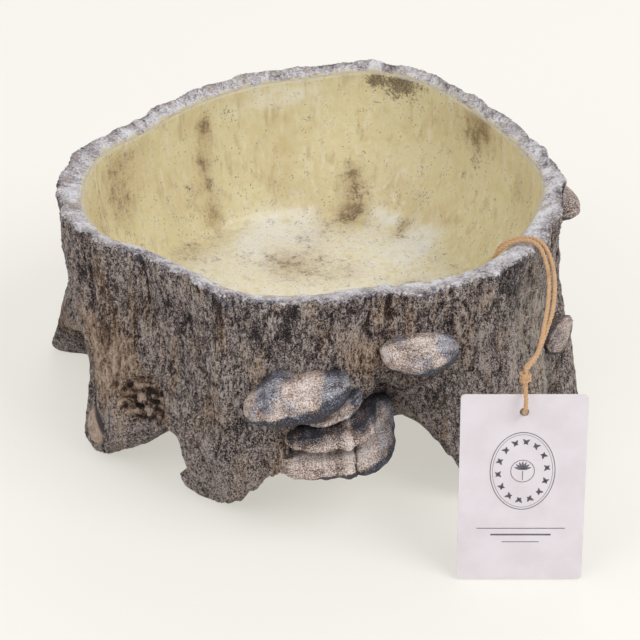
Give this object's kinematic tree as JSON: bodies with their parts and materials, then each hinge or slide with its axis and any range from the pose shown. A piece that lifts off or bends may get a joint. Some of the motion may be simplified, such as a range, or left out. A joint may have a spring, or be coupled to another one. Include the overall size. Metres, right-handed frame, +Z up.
{
  "type": "faux bois planter",
  "caption": "Low round planter shaped as a hollow tree stump on root feet, with bracket fungi on its bark, a glazed inside, a drain hole and a hang tag on twine.",
  "frame": {"origin": "middle of the footprint on the surface that the feet stand on", "axes": "+Z up; -Y is the front, with the stack of bracket fungi; +X to the right as seen from the front"},
  "size_m": [0.2597, 0.2699, 0.1201],
  "materials": {
    "bark": "matte oxide-stained bark relief, bare pale rim, thin glaze inside",
    "glaze": "satin mottled glaze",
    "root_bark": "matte oxide-stained bark relief",
    "fungus": "matte, stained grey and beige",
    "cut_wood": "matte, stained light brown",
    "jute": "rough twisted fibre",
    "card": "uncoated card"
  },
  "bodies": {
    "planter": {"stump_wall": "bark", "bowl_floor": "glaze", "left_root": "root_bark", "left_front_root": "root_bark", "front_root": "root_bark", "right_front_root": "root_bark", "right_root": "root_bark", "rear_right_root": "root_bark", "rear_root": "root_bark", "bracket_top": "fungus", "bracket_second": "fungus", "bracket_third": "fungus", "bracket_bottom": "fungus", "bracket_right_front": "fungus", "bracket_right": "fungus", "bracket_rear_right": "fungus", "knot_collar": "root_bark", "root_stub": "cut_wood"},
    "twine": {"twine": "jute", "twine_hitch": "jute", "twine_end_knot": "jute"},
    "tag": {"hang_tag": "card"}
  },
  "joints": [
    {"name": "twine_lift", "type": "slide", "parent": "planter", "child": "twine", "axis": [0, 0, 1], "range_m": [0, 0.045]},
    {"name": "tag_tilt", "type": "hinge", "parent": "twine", "child": "tag", "pos_m": [0.0905, -0.12457, 0.08186], "axis": [-1, 0, 0], "range_deg": [0, 80]}
  ]
}
